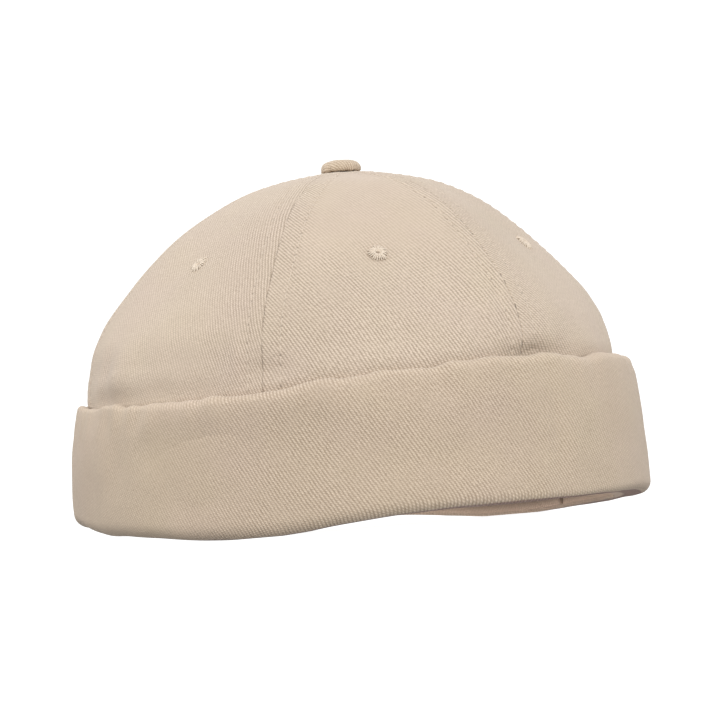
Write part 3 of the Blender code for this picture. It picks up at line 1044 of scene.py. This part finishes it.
# The bottom fold is pressed sharper along the hat's left side.
CORNER_AZIMUTH = 86.0
CORNER_SPREAD = 40.0
CORNER_FULL = 1.10
CORNER_PRESSED = 0.76

# The strip's own cloth map: how it was stretched when it was sewn on, more on one side of the hat,
# and how its ribs lean less where it is drawn round its folds.
CUFF_GRAIN = 59.7
CUFF_GIVE = 0.14
EVEN_GIVE = 1.01
GIVE_AZIMUTH = 48.0
CLOTH_START = 0.035
SHEAR = 0.8
SHEAR_REACH = 0.0018
BELL_AREA = 0.886

# Soft folds of the cuff's face: height is a share of its top's, depth of CUFF_FLARE, outwards
# positive.
CUFF_FOLDS = (
    # azimuth, height, depth, azimuth spread, height spread
    (-10.0, 0.62, 0.04, 9.0, 0.26),
    (26.0, 0.60, -0.07, 21.0, 0.22),
    (82.0, 0.44, -0.06, 32.0, 0.20),
)

# Smaller ones, as in CROWN_FOLDS.
FACE_FOLDS = (
    # azimuth, height, rise, azimuth spread, height spread, slant
    (-12.0, 0.024, -0.0005, 2.5, 0.0160, 0.0),
    (-2.0, 0.030, -0.0005, 2.5, 0.0120, 0.0),
    (8.0, 0.042, 0.0007, 3.5, 0.0060, 500.0),
    (92.0, 0.026, -0.0005, 2.4, 0.0140, 0.0),
    (97.0, 0.028, 0.0004, 3.0, 0.0140, 0.0),
    (19.0, 0.029, -0.0016, 15.0, 0.0090, 0.0),
    (19.0, 0.015, -0.0012, 15.0, 0.0100, 0.0),
    (18.0, 0.042, 0.0011, 8.0, 0.0062, 0.0),
    (42.0, 0.043, 0.0012, 11.0, 0.0060, 0.0),
    (54.0, 0.036, 0.0009, 12.0, 0.0100, 0.0),
    (66.0, 0.009, 0.0016, 26.0, 0.0090, 0.0),
)

# The cuff's unevenness as (size, height), and how far out from the crown it starts and is full.
CUFF_SWELL = (0.030, 0.0006)
CUFF_LUMPS = (0.011, 0.00024)
OUTER_REACH = (0.001, 0.004)

# The lip's gathers, most of all at the front, and its roll: the doubled cloth springs open there,
# fullest along the hat's sides, and lies closed at one place on its left.
GATHERS = 0.0015
GATHER_WIDTH = 0.0065
GATHER_LENGTH = 0.030
GATHER_SLICE = 3.0
GATHER_REACH = 0.009
GATHER_LEAST = 0.40
GATHER_MORE = 0.9
GATHER_AZIMUTH = -8.0
GATHER_SPREAD = 26.0
LIP_ROLL = 0.0010
ROLL_RISE = 0.0006
ROLL_REACH = 0.0031
ROLL_AZIMUTH = 48.0
CLOSED_AZIMUTH = 56.0
CLOSED_SPREAD = 14.0
CLOSED_SHARE = 0.6

# How far down the lip's painted highlight reaches and how light it is, where the underside's painted
# shade ends, and where the painted contact shadow starts and ends and how dark it is.
LIP_HIGHLIGHT_REACH = 0.0080
LIP_HIGHLIGHT = (1.10, 1.11, 1.13, 1.0)
UNDERSIDE_SHADE_END = (0.0011, 0.0016)
CONTACT_SHADE_START = (-0.0058, -0.0044)
CONTACT_SHADE_END = (0.0010, 0.0016)
CONTACT_SHADE = (0.50, 0.42, 0.43, 1.0)

# Darker than the crown's colours though the same twill: painted shade for the cuff's upright face. Its
# underside colours are painted shade too.
cuff_twill = twill("cuff_twill", (0.570, 0.471, 0.369, 1.0), (0.326, 0.251, 0.184, 1.0),
                   contrast=0.85, angle=CUFF_GRAIN,
                   underside_shade_colours=((0.37, 0.285, 0.225, 1.0), (0.55, 0.430, 0.345, 1.0)))


def cuff_fold(azimuth, height):
    # Soft folds of the cuff's face at a share of its height.
    rows = [(at, up, depth * CUFF_FLARE, spread, spread_up, 0.0)
            for at, up, depth, spread, spread_up in CUFF_FOLDS]
    return folds(rows, azimuth, height)


def cuff_section(azimuth):
    # Outer side of the cuff as (out from the crown, up): tread, bottom corner, face, top fold, and
    # the inner layer back down.
    tuck = CROWN_CLOTH + FIT + BAND_CLOTH
    top = cuff_top(azimuth) + lip_wave(azimuth)
    stand = CUFF_FLARE * around(CUFF_TOP, azimuth, 2)
    flare = CUFF_FLARE * around(CUFF_TOP, azimuth, 3)
    pressed = CORNER_PRESSED * bell(degrees_from(azimuth, CORNER_AZIMUTH), CORNER_SPREAD)
    corner = CUFF_CORNER * (CORNER_FULL - pressed)
    points = [(-tuck, 0.0), (0.0, 0.0), (flare - corner, 0.0)]
    for i in range(1, CORNER_STEPS + 1):
        a = math.radians(90.0 * i / CORNER_STEPS)
        points.append((flare - corner * (1.0 - math.sin(a)), corner * (1.0 - math.cos(a))))
    for up, share in CUFF_FACE:
        points.append((stand + (flare - stand) * share + cuff_fold(azimuth, up), top * up))
    fold = (stand - FIT) / 2
    for i in range(FOLD_STEPS + 1):
        a = math.radians(180.0 * i / FOLD_STEPS)
        points.append((stand - fold * (1.0 - math.cos(a)), top - fold * (1.0 - math.sin(a))))
    return points + [(FIT, top * share) for share in INNER_LAYER]


def cuff_give(azimuth):
    return EVEN_GIVE + CUFF_GIVE * math.sin(math.radians(azimuth - GIVE_AZIMUTH))


cuff_sections, cuff_round = {}, [0.0]
for column in range(CUFF_COLUMNS + 1):
    azimuth = CUFF_SEAM - 360.0 + 360.0 * column / CUFF_COLUMNS
    points = cuff_section(azimuth)
    cuff_sections[column] = azimuth, points, section_lengths(points)
    if column:
        here, there = (ellipse(cuff_sections[c][0]) for c in (column - 1, column))
        step = (there[0] + there[1] * CUFF_FLARE) - (here[0] + here[1] * CUFF_FLARE)
        cuff_round.append(cuff_round[-1] + step.length / cuff_give(azimuth))


def on_cuff(column, row):
    azimuth, points, lengths = cuff_sections[column]
    share = row / CUFF_ROWS
    face_end, fold_end = lengths[FACE_END], lengths[FOLD_END]
    if share < FACE_SHARE:
        length = face_end * share / FACE_SHARE
    elif share < FOLD_SHARE:
        length = face_end + (fold_end - face_end) * (share - FACE_SHARE) / (FOLD_SHARE - FACE_SHARE)
    else:
        length = fold_end + (lengths[-1] - fold_end) * (share - FOLD_SHARE) / (1.0 - FOLD_SHARE)
    out, up = along_section(points, length, lengths)
    base, normal = ellipse(azimuth)
    place = settle(base + normal * out + Vector((0.0, 0.0, up)), azimuth)

    near = 0.0
    for at in (lengths[CORNER_MIDDLE], lengths[FOLD_START + 2]):
        near += math.erf((length - at) / SHEAR_REACH) * SHEAR_REACH * BELL_AREA
    cloth = (cuff_round[column] - near * SHEAR / math.tan(math.radians(CUFF_GRAIN)),
             (length - CLOTH_START) / cuff_give(azimuth))

    outer = smooth(*OUTER_REACH, out)
    soft = lumps(place, *CUFF_SWELL) + lumps(place, *CUFF_LUMPS)
    drawn_out = Vector((cuff_round[column] / GATHER_WIDTH, length / GATHER_LENGTH, GATHER_SLICE))
    front = GATHER_LEAST + GATHER_MORE * bell(azimuth - GATHER_AZIMUTH, GATHER_SPREAD)
    at_lip = bell(length - lengths[FOLD_START + 1], GATHER_REACH)
    gather = noise.noise(drawn_out) * (GATHERS * front * at_lip)
    gather += folds(FACE_FOLDS, azimuth, place.z)
    full = math.sqrt(abs(math.cos(math.radians(azimuth - ROLL_AZIMUTH))))
    full *= 1.0 - CLOSED_SHARE * bell(azimuth - CLOSED_AZIMUTH, CLOSED_SPREAD)
    gather += LIP_ROLL * full * bell(length - lengths[FOLD_START] - ROLL_RISE, ROLL_REACH)
    seam = (length - lengths[TREAD_END], lengths[FOLD_TOP] - length)
    return place, (soft + gather) * outer, cloth, seam


bm = cloth_grid(CUFF_COLUMNS, CUFF_ROWS, on_cuff)
bmesh.ops.remove_doubles(bm, verts=bm.verts, dist=WELD)
thicken(bm, CUFF_CLOTH)
finished("cuff_cloth", bm, cuff_twill, "cuff_twill", "cuff")

# Sweatband. A narrow strip of thinner, closer twill sewn round the inside, its ends lapped at
# the back.
BAND_HEIGHT = 0.0310
BAND_LAP = 0.0150
BAND_STEP = 0.0120
BAND_SEAT = 0.00003
BAND_COLUMNS = 260
BAND_ROWS = 20

# Painted shade of the band: how far up it darkens as (where none, where full), how far from its end it
# darkens as (where full, where none), and how dark it gets.
BAND_SHADE_RISE = (0.0004, 0.0055)
END_SHADE_REACH = (0.0006, 0.0016)
BAND_SHADE_DARKNESS = 0.36
END_SHADE_SHARE = 0.26

band_twill = twill("sweatband_twill", (0.690, 0.530, 0.425, 1.0), (0.470, 0.350, 0.272, 1.0),
                   contrast=0.8, pitch=0.0010, shaded_band=True)
mean_radius = (CROWN_HALF_LENGTH + CROWN_HALF_WIDTH) / 2
lap = math.degrees(BAND_LAP / 2 / mean_radius)
step_over = math.degrees(BAND_STEP / mean_radius)
band_base = CUFF_CLOTH + BAND_SEAT


def on_band(column, row):
    azimuth = -180.0 - lap + (360.0 + 2 * lap) * column / BAND_COLUMNS
    past = smooth(lap + step_over - 180.0, lap - 180.0, azimuth)
    inset = CROWN_CLOTH + FIT + (BAND_CLOTH + FIT) * past
    base, normal = ellipse(azimuth)
    height = band_base + (BAND_HEIGHT - band_base) * row / BAND_ROWS
    place = settle(base - normal * inset + Vector((0.0, 0.0, height)), azimuth)
    from_end = (azimuth + 180.0 + lap) / step_over * BAND_STEP
    return place, 0.0, (math.radians(azimuth) * mean_radius, height), (from_end, height)


bm = cloth_grid(BAND_COLUMNS, BAND_ROWS, on_band)
thicken(bm, BAND_CLOTH)
finished("sweatband_cloth", bm, band_twill, "sweatband_twill", "sweatband")

# Studio. A white floor and white surroundings with two broad soft lights, one near the camera's
# right and one far to its left, and the light that a white floor would throw back. The camera
# stands where the photograph was taken: low in front of the hat's left side.
FLOOR_SIZE = 6.0
FLOOR_GREY = (0.20, 0.20, 0.20, 1.0)
FLOOR_GLOW = 0.96
WORLD_STRENGTH = 1.20

bm = bmesh.new()
bmesh.ops.create_grid(bm, x_segments=1, y_segments=1, size=FLOOR_SIZE)
mesh = bpy.data.meshes.new("studio_floor")
bm.to_mesh(mesh)
bm.free()
mesh.materials.append(Finish("studio_floor").surface({
    "Base Color": FLOOR_GREY,
    "Roughness": 1.0,
    "Specular IOR Level": 0.0,
    "Emission Color": WHITE,
    "Emission Strength": FLOOR_GLOW,
}))
floor = bpy.data.objects.new("studio_floor", mesh)
bpy.context.scene.collection.objects.link(floor)
# The floor's glow keeps it white in the picture and lights nothing but itself.
glow = bpy.data.collections.new("floor_glow")
glow.objects.link(floor)
floor.light_linking.receiver_collection = glow

world = bpy.data.worlds.new("studio")
world.use_nodes = True
surroundings = world.node_tree.nodes["Background"].inputs
surroundings["Color"].default_value = WHITE
surroundings["Strength"].default_value = WORLD_STRENGTH
bpy.context.scene.world = world


def aimed(place, target, roll=0.0):
    ahead = (target - place).normalized()
    right = ahead.cross(Vector((0.0, 0.0, 1.0))).normalized()
    up = right.cross(ahead)
    sine, cosine = math.sin(roll), math.cos(roll)
    turned = Matrix((right * cosine - up * sine, right * sine + up * cosine, -ahead))
    return Matrix.Translation(place) @ turned.transposed().to_4x4()


CAMERA_AZIMUTH = math.radians(48.0)
CAMERA_DISTANCE = 1.1
CAMERA_HEIGHT = 0.005
CAMERA_FOCAL = 154.4
CAMERA_SENSOR = 36.0
CAMERA_ROLL = math.radians(4.9)
NEAREST = 0.01
TARGET_ASIDE = 0.0037
TARGET_HEIGHT = 0.0596
back = Vector((math.sin(CAMERA_AZIMUTH), -math.cos(CAMERA_AZIMUTH), 0.0))
aside = Vector((math.cos(CAMERA_AZIMUTH), math.sin(CAMERA_AZIMUTH), 0.0))

# Disc lights aimed at the hat. Those below the floor are its bounce: they shine up through it, as
# a white floor would, and everything else stops them.
LIGHTS = (
    # name, azimuth from the camera, elevation, distance, size, watts
    ("key", 11.0, 15.0, 1.60, 1.00, 11.8),
    ("side", -100.0, 15.0, 1.60, 1.00, 6.0),
    ("right_bounce", 46.0, -40.0, 1.60, 1.00, 6.2),
    ("left_bounce", -40.0, -40.0, 1.60, 1.00, 1.9),
    ("inner_bounce", 0.0, -89.0, 0.11, 0.15, 0.10),
)
HAT_MIDDLE = Vector((0.0, 0.0, 0.08))
past_floor = bpy.data.collections.new("bounce_blockers")
past_floor.objects.link(floor)
past_floor.collection_objects[0].light_linking.link_state = "EXCLUDE"
for name, azimuth, elevation, distance, size, watts in LIGHTS:
    a, e = CAMERA_AZIMUTH + math.radians(azimuth), math.radians(elevation)
    away = Vector((math.sin(a) * math.cos(e), -math.cos(a) * math.cos(e), math.sin(e)))
    disc = bpy.data.lights.new(name, "AREA")
    disc.shape = "DISK"
    disc.size = size
    disc.energy = watts
    light = bpy.data.objects.new(name, disc)
    light.matrix_world = aimed(HAT_MIDDLE + away * distance, HAT_MIDDLE)
    light.visible_camera = False
    if elevation < 0.0:
        light.light_linking.blocker_collection = past_floor
    bpy.context.scene.collection.objects.link(light)

lens = bpy.data.cameras.new("camera")
lens.lens = CAMERA_FOCAL
lens.sensor_width = CAMERA_SENSOR
lens.clip_start = NEAREST
camera = bpy.data.objects.new("camera", lens)
camera.matrix_world = aimed(back * CAMERA_DISTANCE + Vector((0.0, 0.0, CAMERA_HEIGHT)),
                            aside * TARGET_ASIDE + Vector((0.0, 0.0, TARGET_HEIGHT)), CAMERA_ROLL)
bpy.context.scene.collection.objects.link(camera)
bpy.context.scene.camera = camera
bpy.context.scene.view_settings.view_transform = "Standard"
